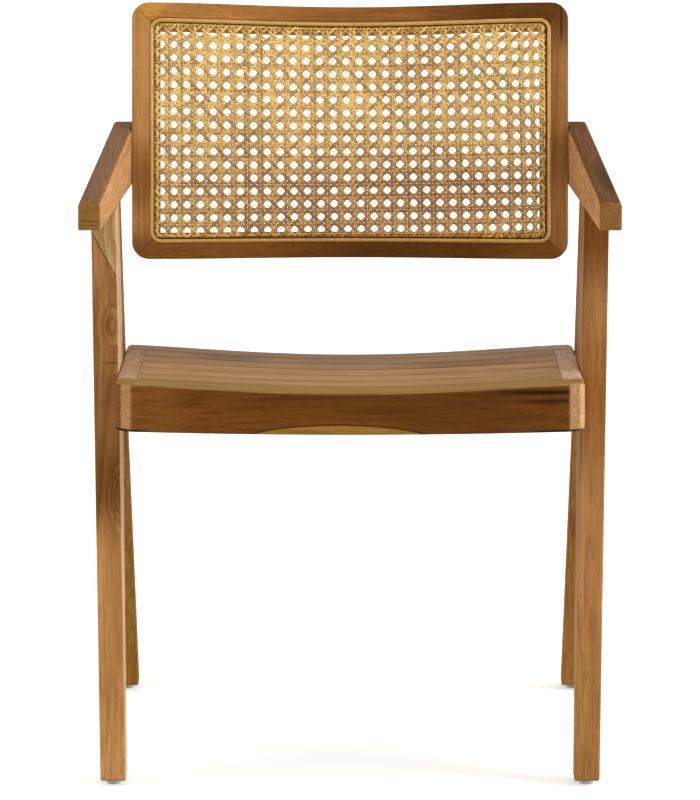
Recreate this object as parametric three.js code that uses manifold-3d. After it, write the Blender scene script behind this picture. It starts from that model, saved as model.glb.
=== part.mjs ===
// A teak armchair with upturned-V side frames, a dished plank seat and a curved cane back.
// Millimetres. X runs to the viewer's right, Y from the front of the chair to its back, Z up.
// The origin is on the floor, under the middle of the chair.
import * as THREE from "three";
import { mergeVertices } from "three/addons/utils/BufferGeometryUtils.js";
import Module from "manifold-3d";

const wasm = await Module();
wasm.setup();

// Fits
const seam = 0.3; // between two faces that are glued or rest on each other
const pegClearance = 0.3; // round a dowel, and past its ends
const overrun = 6; // how far a cutter runs past the face that it cuts

// Glides
const glideDiameter = 16;
const glideHeight = 6.5;
const glideEdgeRadius = 1.2;
const glidePinDiameter = 4;
const glidePinLength = 14;

// Side frames, measured from the front edge of the front foot
const footSpan = 516; // front foot's front edge to rear foot's rear edge
const footHalfWidth = 279; // centre plane to a leg's outer face, at the floor
const legThickness = 28.5;
const legEdgeRadius = 2; // along every edge but the glued joint and the top under the arm
const leanHeight = 600;
const leanOut = 13.4; // a leg leans out by this much over leanHeight
const footDepth = 40;
const footChamfer = 2.5;
const crotchHeight = 475;
const crotchDepth = 292;
const frontLegTopDepth = 195; // front edge of the front leg, under the arm
const rearLegTopDepth = 350; // rear edge of the rear leg, under the arm
const rearLegBendHeight = 318;
const rearLegBendWidth = 44; // the rear leg's own depth at its bend
const legJointTopDepth = 286; // where the glued joint of the two legs meets the arm

// Arms
const armFront = 1;
const armLength = 484;
const armWidth = 25;
const armFrontInnerHalf = 275; // centre plane to the inner face, at the front end
const armFrontUnderside = 630;
const armRearUnderside = 611;
const armFrontHeight = 31.5;
const armRearHeight = 70;
const armTopRadius = 5;
const armLowerRadius = 1.5;
const armEndRadius = 3;

// Seat, measured in its own tilted frame: from its front corners back, and down from its top corners
const seatFront = 15.5;
const seatFrontHeight = 456;
const seatDepth = 413;
const seatTiltDegrees = 4.15;
const seatBow = 11; // how far the middle of the front edge stands forward
const frontRailHalfWidth = 261; // a little proud of the legs that it stands in front of
const frontCornerWidth = 17; // the front corners are cut off slantwise, then rounded into the sides
const frontCornerDepth = 13.6;
const frontCornerRound = 6;
const seatEdgeRadius = 4.5; // along the top's side edges
const rearCornerInset = 6;
const rearCornerLength = 38;
const frontRailWidth = 54;
const frontRailHeight = 54;
const apronSag = 2.5; // how far the middle of its lower edge hangs below the ends
const apronThickness = 24;
const apronEdgeRadius = 4.5; // along its lower edges
const rearRailWidth = 52;
const sideRailWidth = 22;
const sideRailHeight = 50;
const boardThickness = 36;
const slatCount = 5;
const boardEase = 1.8; // slant along the top edges where boards and rails meet
const tongueLength = 8;
const tongueThickness = 8;
const tongueDrop = 12; // top of the board's end to top of its tongue
const frontDish = 9.4;
const rearDish = 11.8;
const dishFullnessShare = 0.6;

// Back frame, measured along its own curved and tilted face
const panelFront = 412; // front face at the lower corners
const panelBottom = 529.6;
const panelHeight = 298.4;
const panelHalfWidth = 253.4;
const panelTiltDegrees = 9.5;
const panelRadius = 1335;
const panelThickness = 24;
const panelCornerRadius = 20;
const stileBand = 20; // bare wood outside the groove
const topBand = 17.5;
const bottomBand = 17.9;
const stileLedge = 5; // wood inside the groove, under the cane
const topLedge = 9;
const bottomLedge = 6;
const topRailDip = 5;
const bottomRailArch = 2;

// Cane and its spline
const grooveWidth = 7;
const grooveDepth = 8;
const grooveCornerRadius = 14;
const caneThickness = 1.6;
const caneFoldThickness = 1.2;
const splineProud = 0.6;
const splineDepth = 6;
const caneColumns = 17;
const caneRows = 9;
const caneHoleShare = 0.62; // a hole's width as a share of the weave's pitch
const caneHoleSides = 8;

// Dowels
const dowelDiameter = 8;
const armDowelDiameter = 10;
const dowelLength = 30;
const mitreDowelDiameter = 6;
const mitreDowelLength = 22;
const mitreDowelInset = 13; // the frame's outer edges to the middle of the dowel
const railDowelDrop = 40; // the seat's front corners down to the dowels that hold it to the legs
const cornerDowelDrop = 28; // the seat's top corners down to the dowels between its rails
const dowelSides = 12;
const legJointHeightShares = [0.35, 0.75]; // places of dowels along their joints
const armDowelDepthShares = [0.22, 0.84];
const backDowelHeightShares = [0.3, 0.72];
const frontRailDowelShares = [0.25, 0.75];
const rearRailDowelShares = [0.2, 0.55];

// Steps of curves
const cornerSteps = 4;
const bowSteps = 12;
const railSteps = 16;
const dishSteps = 24;
const discSides = 20;

// Finishes
const finish = (color, roughness) => new THREE.MeshStandardMaterial({ color, roughness, metalness: 0 });
const legTeak = finish("#a9743c", 0.55);
const armTeak = finish("#96704c", 0.55);
const seatTeak = finish("#a07a50", 0.55);
const apronTeak = finish("#7d4c1f", 0.55);
const frameTeak = finish("#94602c", 0.55);
const caneFinish = finish("#c9973f", 0.6);
const dowelBeech = finish("#c8a878", 0.7);
const glideNylon = finish("#b9b7b0", 0.5);

// Solids from geometry, and meshes from solids
const bare = (geometry) => {
  const plain = new THREE.BufferGeometry().setAttribute("position", geometry.getAttribute("position"));
  if (geometry.index) plain.setIndex(geometry.index);
  return mergeVertices(plain);
};

const solid = (geometry) => {
  const merged = bare(geometry);
  const vertProperties = new Float32Array(merged.attributes.position.array);
  const triVerts = new Uint32Array(merged.index.array);
  return new wasm.Manifold(new wasm.Mesh({ numProp: 3, vertProperties, triVerts }));
};

const geometryOf = (made) => {
  const { vertProperties, triVerts } = made.getMesh();
  const geometry = new THREE.BufferGeometry();
  geometry.setAttribute("position", new THREE.BufferAttribute(vertProperties, 3));
  geometry.setIndex(new THREE.BufferAttribute(triVerts, 1));
  return geometry;
};

const named = (name, geometry, material) => {
  const shown = geometry.toNonIndexed();
  shown.computeVertexNormals();
  const mesh = new THREE.Mesh(shown, material);
  mesh.name = name;
  return mesh;
};

// Six times the volume that a triangle makes with the origin, summed: negative on an inside-out shell.
const signedVolume = (points, faces) =>
  faces.reduce((sum, [a, b, c]) => sum + points[a].dot(points[b].clone().cross(points[c])), 0);

const shellFrom = (points, faces) => {
  const outward = signedVolume(points, faces) < 0 ? faces.map(([a, b, c]) => [a, c, b]) : faces;
  const geometry = new THREE.BufferGeometry().setFromPoints(points);
  geometry.setIndex(outward.flat());
  return geometry;
};

// Joins rings of points, all of one count, into a shell: a closed loop, or a run with an outline's caps at its ends.
const loft = (rings, outline) => {
  const clockwise = outline && THREE.ShapeUtils.isClockWise(outline);
  const ordered = clockwise ? rings.map((ring) => [...ring].reverse()) : rings;
  const count = rings[0].length;
  const end = (rings.length - 1) * count;
  const faces = [];
  const spans = outline ? rings.length - 1 : rings.length;
  for (let i = 0; i < spans; i++) {
    const here = i * count;
    const next = ((i + 1) % rings.length) * count;
    for (let j = 0; j < count; j++) {
      const k = (j + 1) % count;
      faces.push([here + j, next + j, next + k], [here + j, next + k, here + k]);
    }
  }
  if (outline) {
    const flat = clockwise ? [...outline].reverse() : outline;
    for (const [a, b, c] of THREE.ShapeUtils.triangulateShape(flat, [])) {
      faces.push([a, b, c], [end + a, end + c, end + b]);
    }
  }
  return shellFrom(ordered.flat(), faces);
};

const shapeOf = (points) => new THREE.Shape(points.map(([x, y]) => new THREE.Vector2(x, y)));

const extruded = (shape, depth) =>
  new THREE.ExtrudeGeometry(shape, { depth, bevelEnabled: false, curveSegments: cornerSteps });

// An extrusion of a full depth with its edges rounded at both ends.
const easedExtrusion = (shape, depth, radius, curveSegments) => {
  const geometry = new THREE.ExtrudeGeometry(shape, {
    depth: depth - 2 * radius,
    curveSegments,
    bevelSize: radius,
    bevelThickness: radius,
    bevelOffset: -radius,
    bevelSegments: cornerSteps,
  });
  return geometry.translate(0, 0, radius);
};

const block = (low, high) => {
  const size = new THREE.Vector3().subVectors(high, low);
  const middle = new THREE.Vector3().addVectors(low, high).multiplyScalar(0.5);
  return new THREE.BoxGeometry(size.x, size.y, size.z).translate(middle.x, middle.y, middle.z);
};

const mix = THREE.MathUtils.lerp;
const across = new THREE.Vector3(1, 0, 0);
const back = new THREE.Vector3(0, 1, 0);
const up = new THREE.Vector3(0, 0, 1);

// Dowels, each with the cutter for its hole
const aimed = (object, from, to) => {
  object.position.addVectors(from, to).multiplyScalar(0.5);
  object.quaternion.setFromUnitVectors(back, new THREE.Vector3().subVectors(to, from).normalize());
  object.updateMatrix();
  return object;
};

const dowel = (name, from, to, diameter = dowelDiameter) => {
  const length = from.distanceTo(to);
  const radius = diameter / 2;
  const peg = named(name, new THREE.CylinderGeometry(radius, radius, length, dowelSides), dowelBeech);
  const holeRadius = radius + pegClearance;
  const hole = new THREE.CylinderGeometry(holeRadius, holeRadius, length + 2 * pegClearance, dowelSides);
  aimed(peg, from, to);
  return { peg, hole: solid(hole.applyMatrix4(peg.matrix)) };
};

const mirrored = (geometry) => {
  const flipped = bare(geometry).applyMatrix4(new THREE.Matrix4().makeScale(-1, 1, 1));
  const index = flipped.index.array;
  for (let i = 0; i < index.length; i += 3) [index[i + 1], index[i + 2]] = [index[i + 2], index[i + 1]];
  return flipped;
};

const drilled = (made, dowels) => dowels.reduce((rest, { hole }) => rest.subtract(hole), made);

const drilledBothSides = (made, dowels) =>
  dowels.reduce((rest, { hole }) => rest.subtract(hole).subtract(solid(mirrored(geometryOf(hole)))), made);

// Side frame
const lean = leanOut / leanHeight;
const outerHalfAt = (z) => footHalfWidth + lean * z;
const innerHalfAt = (z) => outerHalfAt(z) - legThickness;
const legMiddleAt = (z) => outerHalfAt(z) - legThickness / 2;
const armRear = armFront + armLength;
const undersideAt = (y) => mix(armFrontUnderside, armRearUnderside, (y - armFront) / armLength);
const legTopAt = (y) => undersideAt(y) - seam;

// Edges of the legs, as depths at a height
const ankle = glideHeight + footChamfer;
const rearFootFront = footSpan - footDepth;
const frontLegDepthAt = (z) => mix(0, frontLegTopDepth, (z - ankle) / (legTopAt(frontLegTopDepth) - ankle));
const frontLegRearDepthAt = (z) => mix(footDepth, crotchDepth, (z - ankle) / (crotchHeight - ankle));
const rearLegInnerDepthAt = (z) => mix(rearFootFront, crotchDepth, (z - ankle) / (crotchHeight - ankle));
const rearLegBendDepth = rearLegInnerDepthAt(rearLegBendHeight) + rearLegBendWidth;
const rearLegRearDepthAt = (z) => {
  const share = (z - rearLegBendHeight) / (legTopAt(rearLegTopDepth) - rearLegBendHeight);
  return mix(rearLegBendDepth, rearLegTopDepth, share);
};
const jointDepthAt = (z) => {
  const share = (z - crotchHeight) / (legTopAt(legJointTopDepth) - crotchHeight);
  return mix(crotchDepth, legJointTopDepth, share);
};

// Places an extrusion of an outline in depth and height across the side frame, its inner face at x = 0.
const sideways = (geometry) => geometry.applyMatrix4(new THREE.Matrix4().makeBasis(back, up, across));

// Both legs of a side as one eased frame that runs up past the arm, to be cut apart.
const frameTop = Math.max(armFrontUnderside, armRearUnderside) + overrun;
const sideFrame = () => {
  const outline = [
    [footChamfer, glideHeight],
    [footDepth - footChamfer, glideHeight],
    [footDepth, ankle],
    [crotchDepth, crotchHeight],
    [rearFootFront, ankle],
    [rearFootFront + footChamfer, glideHeight],
    [footSpan - footChamfer, glideHeight],
    [footSpan, ankle],
    [rearLegBendDepth, rearLegBendHeight],
    [rearLegRearDepthAt(frameTop), frameTop],
    [frontLegDepthAt(frameTop), frameTop],
    [0, ankle],
  ];
  const flat = easedExtrusion(shapeOf(outline), legThickness, legEdgeRadius, cornerSteps);
  const placed = sideways(flat).translate(footHalfWidth - legThickness, 0, 0);
  return solid(placed.applyMatrix4(new THREE.Matrix4().makeShear(0, 0, 0, 0, lean, 0)));
};

const sideCutter = (outline) => {
  const reach = legThickness + leanOut + 2 * overrun;
  const start = footHalfWidth - legThickness - overrun;
  return solid(sideways(extruded(shapeOf(outline), reach)).translate(start, 0, 0));
};

const cutTop = frameTop + overrun;
const aboveLegs = sideCutter([
  [-overrun, legTopAt(-overrun)],
  [footSpan, legTopAt(footSpan)],
  [footSpan, cutTop],
  [-overrun, cutTop],
]);

// All on one side of the glued joint and of the gap under it, from an edge past the frame's front or rear.
const beyondJoint = (edge, gap) =>
  sideCutter([
    [edge, 0],
    [(footDepth + rearFootFront) / 2, 0],
    [crotchDepth + gap, crotchHeight],
    [jointDepthAt(cutTop) + gap, cutTop],
    [edge, cutTop],
  ]);

const legSolid = (removed) => sideFrame().subtract(removed).subtract(aboveLegs);
const frontLegSolid = () => legSolid(beyondJoint(footSpan + overrun, -seam / 2));
const rearLegSolid = () => legSolid(beyondJoint(-overrun, seam / 2));

// Arm
const contactHeight = armRearUnderside + armRearHeight;
const panelTilt = THREE.MathUtils.degToRad(panelTiltDegrees);
const contactDepth = panelFront + (contactHeight - panelBottom) * Math.tan(panelTilt);
const armToe = (armFrontInnerHalf - panelHalfWidth - seam) / (contactDepth - armFront);
const armInnerAt = (y) => armFrontInnerHalf - armToe * (y - armFront);
const armHeightAt = (y) => mix(armFrontHeight, armRearHeight, (y - armFront) / armLength);

// A rectangle with its own corner radii above and below, drawn in by an inset.
const armSection = (height, inset) => {
  const half = armWidth / 2 - inset;
  const corners = [
    [half, inset, armLowerRadius, -Math.PI / 2],
    [half, height - inset, armTopRadius, 0],
    [-half, height - inset, armTopRadius, Math.PI / 2],
    [-half, inset, armLowerRadius, Math.PI],
  ];
  return corners.flatMap(([x, z, radius, start]) =>
    Array.from({ length: cornerSteps + 1 }, (_, i) => {
      const angle = start + (i / cornerSteps) * (Math.PI / 2);
      const middleX = x - Math.sign(x) * radius;
      const middleZ = z - Math.sign(z - height / 2) * radius;
      return new THREE.Vector2(middleX + radius * Math.cos(angle), middleZ + radius * Math.sin(angle));
    }),
  );
};

const armRing = (y, inset) =>
  armSection(armHeightAt(y), inset).map(
    (p) => new THREE.Vector3(armInnerAt(y) + armWidth / 2 + p.x, y, undersideAt(y) + p.y),
  );

const armSolid = () => {
  const ends = Array.from({ length: cornerSteps + 1 }, (_, i) => {
    const angle = (i / cornerSteps) * (Math.PI / 2);
    return [armEndRadius * (1 - Math.cos(angle)), armEndRadius * (1 - Math.sin(angle))];
  });
  const front = ends.map(([along, inset]) => armRing(armFront + along, inset));
  const rear = ends.map(([along, inset]) => armRing(armRear - along, inset)).reverse();
  return solid(loft([...front, ...rear], armSection(armFrontHeight, 0)));
};

// Dowels of one side
const legDowel = (name, y, z) => {
  const x = legMiddleAt(z);
  const from = new THREE.Vector3(x, y - dowelLength / 2, z);
  return dowel(name, from, new THREE.Vector3(x, y + dowelLength / 2, z));
};

const legJointDowels = (side) =>
  legJointHeightShares.map((share, i) => {
    const z = mix(crotchHeight, legTopAt(legJointTopDepth), share);
    return legDowel(`${side}_leg_joint_dowel_${i + 1}`, jointDepthAt(z), z);
  });

const armDowels = (side) =>
  armDowelDepthShares.map((share, i) => {
    const y = mix(frontLegTopDepth, rearLegTopDepth, share);
    const z = undersideAt(y);
    const x = legMiddleAt(z) - (legMiddleAt(z) - (armInnerAt(y) + armWidth / 2)) / 2;
    const from = new THREE.Vector3(x, y, z - dowelLength / 2);
    const to = new THREE.Vector3(x, y, z + dowelLength / 2);
    return dowel(`${side}_arm_dowel_${i + 1}`, from, to, armDowelDiameter);
  });

// Seat frame: x across, y back from the front corners, z up from the top corners
const seatTilt = THREE.MathUtils.degToRad(seatTiltDegrees);
const seatPlace = new THREE.Matrix4()
  .makeRotationX(-seatTilt)
  .setPosition(0, seatFront, seatFrontHeight);
const inSeat = (x, y, z) => new THREE.Vector3(x, y, z).applyMatrix4(seatPlace);
const seatHalfWidth = innerHalfAt(seatFrontHeight - frontRailHeight) - seam;
const sideRailInner = seatHalfWidth - sideRailWidth;
const seatSolid = (geometry) => solid(geometry.applyMatrix4(seatPlace));

// The hollow that the seat's top is worked to: a rounded wave across, with the side edges rounded over.
const dishHalf = frontRailHalfWidth - seatEdgeRadius;
const dishAt = (x, depth) => {
  const wave = (1 + Math.cos((Math.PI * x) / dishHalf)) / 2;
  return depth * Math.pow(wave, dishFullnessShare);
};
const dishOutline = (depth) => {
  const wave = Array.from({ length: dishSteps + 1 }, (_, i) => {
    const x = mix(-dishHalf, dishHalf, i / dishSteps);
    return [x, -dishAt(x, depth)];
  });
  const round = Array.from({ length: cornerSteps }, (_, i) => {
    const angle = ((i + 1) / cornerSteps) * (Math.PI / 2);
    return [dishHalf + seatEdgeRadius * Math.sin(angle), -seatEdgeRadius * (1 - Math.cos(angle))];
  });
  const side = frontRailHalfWidth + overrun;
  const right = [...round, [side, -seatEdgeRadius], [side, 2 * overrun]];
  const left = right.map(([x, z]) => [-x, z]).reverse();
  return [...wave, ...right, ...left].map(([x, z]) => new THREE.Vector2(x, z));
};
const dishRing = (y, drop) => {
  const depth = mix(frontDish, rearDish, y / seatDepth);
  return dishOutline(depth).map((p) => new THREE.Vector3(p.x, y, p.y - drop));
};

// The boards between front and rear rail, and the joints that their top edges are eased along
const boardsStart = frontRailWidth + seam;
const boardsEnd = seatDepth - rearRailWidth - seam;
const slatWidth = (boardsEnd - boardsStart - (slatCount - 1) * seam) / slatCount;
const slatStart = (index) => boardsStart + index * (slatWidth + seam);

const dishCutter = (joints) => {
  const grooves = joints.flatMap((joint) => {
    const y = slatStart(joint) - seam / 2;
    return [dishRing(y - boardEase, 0), dishRing(y, boardEase), dishRing(y + boardEase, 0)];
  });
  const rings = [dishRing(-seatBow - overrun, 0), ...grooves, dishRing(seatDepth + overrun, 0)];
  return seatSolid(loft(rings, dishOutline(frontDish)));
};
const railDish = dishCutter([0, slatCount]);
const boardDish = dishCutter(Array.from({ length: slatCount + 1 }, (_, i) => i));

const frontRailShape = () => {
  const half = frontRailHalfWidth;
  const facet = half - frontCornerWidth;
  const turn = half - frontCornerRound;
  const turnDepth = frontCornerDepth * (1 - frontCornerRound / frontCornerWidth);
  const shape = new THREE.Shape();
  shape.moveTo(-half, frontRailWidth);
  shape.lineTo(-half, frontCornerDepth + frontCornerRound);
  shape.quadraticCurveTo(-half, frontCornerDepth, -turn, turnDepth);
  shape.lineTo(-facet, 0);
  shape.quadraticCurveTo(0, -2 * seatBow, facet, 0);
  shape.lineTo(turn, turnDepth);
  shape.quadraticCurveTo(half, frontCornerDepth, half, frontCornerDepth + frontCornerRound);
  shape.lineTo(half, frontRailWidth);
  return shape;
};

const rearRailShape = () => {
  const shape = new THREE.Shape();
  const front = seatDepth - rearRailWidth;
  const turn = seatDepth - rearCornerLength;
  const rearHalf = seatHalfWidth - rearCornerInset;
  shape.moveTo(-seatHalfWidth, front);
  shape.lineTo(seatHalfWidth, front);
  shape.lineTo(seatHalfWidth, turn);
  shape.quadraticCurveTo(seatHalfWidth, seatDepth - rearCornerInset, rearHalf, seatDepth);
  shape.lineTo(-rearHalf, seatDepth);
  shape.quadraticCurveTo(-seatHalfWidth, seatDepth - rearCornerInset, -seatHalfWidth, turn);
  return shape;
};

const standing = (geometry, y) =>
  geometry.applyMatrix4(new THREE.Matrix4().makeBasis(across, up, back.clone().negate())).translate(0, y, 0);

// The front rail's lower edge hangs in a shallow bow: each point sinks by its shares of the height and the width.
const sagged = (geometry) => {
  const places = geometry.getAttribute("position");
  for (let i = 0; i < places.count; i++) {
    const z = places.getZ(i);
    const down = Math.max(0, -z / frontRailHeight);
    const inward = 1 - (places.getX(i) / frontRailHalfWidth) ** 2;
    places.setZ(i, z - apronSag * down * inward);
  }
  return geometry;
};

const frontRailSolid = () => {
  const plan = easedExtrusion(frontRailShape(), frontRailHeight + apronEdgeRadius, apronEdgeRadius, bowSteps);
  const rail = seatSolid(sagged(plan.translate(0, 0, -frontRailHeight)));
  const low = new THREE.Vector3(-sideRailInner, apronThickness, -frontRailHeight - apronSag - overrun);
  const high = new THREE.Vector3(sideRailInner, frontRailWidth + overrun, -boardThickness);
  return rail.subtract(seatSolid(block(low, high))).subtract(railDish);
};

const rearRailSolid = () =>
  seatSolid(extruded(rearRailShape(), boardThickness).translate(0, 0, -boardThickness)).subtract(railDish);

// A board's outline with its tongues, and the side rail's with the groove that takes them

const slatShape = () => {
  const inner = sideRailInner - seam;
  const tip = inner + tongueLength;
  const low = -tongueDrop - tongueThickness;
  const tongue = [[inner, low], [tip, low], [tip, -tongueDrop], [inner, -tongueDrop]];
  const right = [[inner, -boardThickness], ...tongue, [inner, 0]];
  const left = right.map(([x, z]) => [-x, z]).reverse();
  return [...right, ...left];
};

const slatSolid = (index) => {
  const end = slatStart(index) + slatWidth;
  return seatSolid(standing(extruded(shapeOf(slatShape()), slatWidth), end)).subtract(boardDish);
};

const sideRailShape = () => {
  const grooveTop = -tongueDrop + seam;
  const grooveLow = -tongueDrop - tongueThickness - seam;
  const grooveEnd = sideRailInner + tongueLength + seam;
  const slope = (z) => innerHalfAt(seatFrontHeight + z - frontRailHeight / 2) - 2 * seam;
  return [
    [sideRailInner, 0],
    [sideRailInner, grooveTop],
    [grooveEnd, grooveTop],
    [grooveEnd, grooveLow],
    [sideRailInner, grooveLow],
    [sideRailInner, -sideRailHeight],
    [slope(-sideRailHeight), -sideRailHeight],
    [slope(0), 0],
  ];
};

const sideRailSolid = () => {
  const length = boardsEnd - boardsStart;
  return seatSolid(standing(extruded(shapeOf(sideRailShape()), length), boardsEnd)).subtract(railDish);
};

// Dowels from the side rail into the legs, two in each leg
const railDowel = (name, y) => {
  const z = seatFrontHeight - railDowelDrop - (y - seatFront) * Math.tan(seatTilt);
  const joint = innerHalfAt(z);
  const from = new THREE.Vector3(joint - sideRailWidth / 2 - seam, y, z);
  return dowel(name, from, new THREE.Vector3(joint + legThickness / 2 + seam, y, z));
};

const railDowels = (side) => {
  const z = seatFrontHeight - railDowelDrop;
  const front = frontRailDowelShares.map((share) => mix(frontLegDepthAt(z), frontLegRearDepthAt(z), share));
  const low = z - (rearLegTopDepth - seatFront) * Math.tan(seatTilt);
  const rear = rearRailDowelShares.map((share) => mix(rearLegInnerDepthAt(low), rearLegRearDepthAt(low), share));
  return {
    front: front.map((y, i) => railDowel(`${side}_front_rail_dowel_${i + 1}`, y)),
    rear: rear.map((y, i) => railDowel(`${side}_rear_rail_dowel_${i + 1}`, y)),
  };
};

// Dowels that hold the side rails to the front and rear rail
const cornerDowels = (side) => {
  const x = seatHalfWidth - sideRailWidth / 2;
  const half = dowelLength / 2;
  const ends = [["front", frontRailWidth], ["rear", seatDepth - rearRailWidth]];
  return ends.map(([end, y]) => {
    const from = inSeat(x, y - half, -cornerDowelDrop);
    return dowel(`${side}_${end}_corner_dowel`, from, inSeat(x, y + half, -cornerDowelDrop));
  });
};

// Back frame: x along the curve from the middle, h up the panel, w from the front face to the back
const edgeAngle = Math.asin(panelHalfWidth / panelRadius);
const halfArc = panelRadius * edgeAngle;
const squeezeAt = (w) => {
  const half = panelHalfWidth - armToe * Math.max(w, 0);
  return (panelRadius * Math.asin(half / (panelRadius + w))) / halfArc;
};
const stileWidth = stileBand + grooveWidth + stileLedge;
const topRailWidth = topBand + grooveWidth + topLedge;
const bottomRailWidth = bottomBand + grooveWidth + bottomLedge;
const openHalf = halfArc - stileWidth;
const fade = (x) => Math.pow(Math.max(0, 1 - (x / openHalf) ** 2), 2);
const swayed = (x, h) => {
  const share = h / panelHeight;
  return h - topRailDip * fade(x) * share + bottomRailArch * fade(x) * (1 - share);
};

const panelPoint = (x, h, w) => {
  const angle = (x * squeezeAt(w)) / panelRadius;
  const reach = (panelRadius + w) * Math.cos(angle) - panelRadius * Math.cos(edgeAngle);
  const height = swayed(x, h);
  return new THREE.Vector3(
    (panelRadius + w) * Math.sin(angle),
    panelFront + reach * Math.cos(panelTilt) + height * Math.sin(panelTilt),
    panelBottom + height * Math.cos(panelTilt) - reach * Math.sin(panelTilt),
  );
};

// A member's section: u runs in from the frame's outer edge, w back from its face.
// Its step down to the cane's ledge stands in the middle of the groove, which cuts it away.
const caneSeat = caneThickness + 2 * seam;
const memberSection = (width, ledge) => [
  [0, 0],
  [width - ledge - grooveWidth / 2, 0],
  [width - ledge - grooveWidth / 2, caneSeat],
  [width, caneSeat],
  [width, panelThickness],
  [0, panelThickness],
];

// Where the mitre, from outer to inner corner, crosses the rounded corner: shares of both widths.
const mitreShare = (a, b) => (panelCornerRadius * (a + b - Math.sqrt(2 * a * b))) / (a * a + b * b);

// The outer edge as stations along the member, each with how far the rounded corner draws it in.
const outerStations = (low, high, lowWidths, highWidths, steps) => {
  const corner = ([own, other], end, inward) => {
    const share = mitreShare(own, other);
    const first = Math.acos(1 - (share * own) / panelCornerRadius);
    const stations = [];
    for (let i = 0; i <= cornerSteps; i++) {
      const angle = first * (1 - i / cornerSteps);
      const along = panelCornerRadius * (1 - Math.sin(angle));
      stations.push([end + inward * along, panelCornerRadius * (1 - Math.cos(angle))]);
    }
    return stations;
  };
  const start = corner(lowWidths, low, 1);
  const finishEnd = corner(highWidths, high, -1).reverse();
  const middle = Array.from({ length: steps - 1 }, (_, i) => [
    mix(start[start.length - 1][0], finishEnd[0][0], (i + 1) / steps),
    0,
  ]);
  return [...start, ...middle, ...finishEnd];
};

const frameMember = ({ width, ledge, ends, endWidths, steps, toPanel }) => {
  const section = memberSection(width, ledge);
  const outer = outerStations(ends[0], ends[1], [width, endWidths[0]], [width, endWidths[1]], steps);
  const first = outer[0][0];
  const run = outer[outer.length - 1][0] - first;
  const gap = seam / Math.SQRT2;
  const rings = outer.map(([along, drop], i) => {
    const share = (along - first) / run;
    return section.map(([u, w]) => {
      if (u === 0) {
        const nudge = i === 0 ? gap : i === outer.length - 1 ? -gap : 0;
        return toPanel(along + nudge, drop, w);
      }
      const low = ends[0] + (u * endWidths[0]) / width + gap;
      const high = ends[1] - (u * endWidths[1]) / width - gap;
      return toPanel(mix(low, high, share), u, w);
    });
  });
  return loft(rings, section.map(([u, w]) => new THREE.Vector2(u, w)));
};

const stileGeometry = () =>
  frameMember({
    width: stileWidth,
    ledge: stileLedge,
    ends: [0, panelHeight],
    endWidths: [bottomRailWidth, topRailWidth],
    steps: 1,
    toPanel: (along, u, w) => panelPoint(halfArc - u, along, w),
  });

const topRailGeometry = () =>
  frameMember({
    width: topRailWidth,
    ledge: topLedge,
    ends: [-halfArc, halfArc],
    endWidths: [stileWidth, stileWidth],
    steps: railSteps,
    toPanel: (along, u, w) => panelPoint(along, panelHeight - u, w),
  });

const bottomRailGeometry = () =>
  frameMember({
    width: bottomRailWidth,
    ledge: bottomLedge,
    ends: [-halfArc, halfArc],
    endWidths: [stileWidth, stileWidth],
    steps: railSteps,
    toPanel: (along, u, w) => panelPoint(along, u, w),
  });

// The groove's line: a rectangle with round corners, drawn in by an inset from the groove's outer wall.
const groovePath = (inset, columns, rows) => {
  const half = halfArc - stileBand - inset;
  const low = bottomBand + inset;
  const high = panelHeight - topBand - inset;
  const radius = Math.max(grooveCornerRadius - inset, seam);
  const path = [];
  const turn = (x, h, start) => {
    for (let i = 0; i <= cornerSteps; i++) {
      const angle = start + (i / cornerSteps) * (Math.PI / 2);
      path.push([x + radius * Math.cos(angle), h + radius * Math.sin(angle)]);
    }
  };
  const line = (from, to, steps) => {
    for (let i = 1; i < steps; i++) path.push([mix(from[0], to[0], i / steps), mix(from[1], to[1], i / steps)]);
  };
  const inX = half - radius;
  turn(inX, low + radius, -Math.PI / 2);
  line([half, low + radius], [half, high - radius], rows);
  turn(inX, high - radius, 0);
  line([inX, high], [-inX, high], columns);
  turn(-inX, high - radius, Math.PI / 2);
  line([-half, high - radius], [-half, low + radius], rows);
  turn(-inX, low + radius, Math.PI);
  line([-inX, low], [inX, low], columns);
  return path;
};

// A section carried round the groove's line: each of its points has its own inset and depth.
const grooveRing = (section, columns, rows) => {
  const paths = section.map(([inset]) => groovePath(inset, columns, rows));
  const rings = paths[0].map((_, i) => section.map(([, w], j) => panelPoint(...paths[j][i], w)));
  return loft(rings);
};

const grooveSection = [[0, -overrun], [grooveWidth, -overrun], [grooveWidth, grooveDepth], [0, grooveDepth]];
const grooveCutter = solid(grooveRing(grooveSection, railSteps, 1));

// The cane's spline: square below, half round above.
const splineWidth = grooveWidth - caneFoldThickness - 3 * seam;
const splineSection = () => {
  const middle = seam + splineWidth / 2;
  const crown = splineWidth / 2;
  const round = Array.from({ length: cornerSteps + 1 }, (_, i) => {
    const angle = (i / cornerSteps) * Math.PI;
    return [middle + crown * Math.cos(angle), (crown - splineProud) - crown * Math.sin(angle)];
  });
  return [...round, [seam, splineDepth], [seam + splineWidth, splineDepth]];
};

// Cane: an even net of eight-sided holes whose border runs over the ledge and folds down into the groove.
const caneFront = seam;
const caneBack = caneFront + caneThickness;
const foldOuter = grooveWidth - seam - caneFoldThickness;
const foldInner = grooveWidth - seam;
const foldEnd = grooveDepth - seam;

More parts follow.
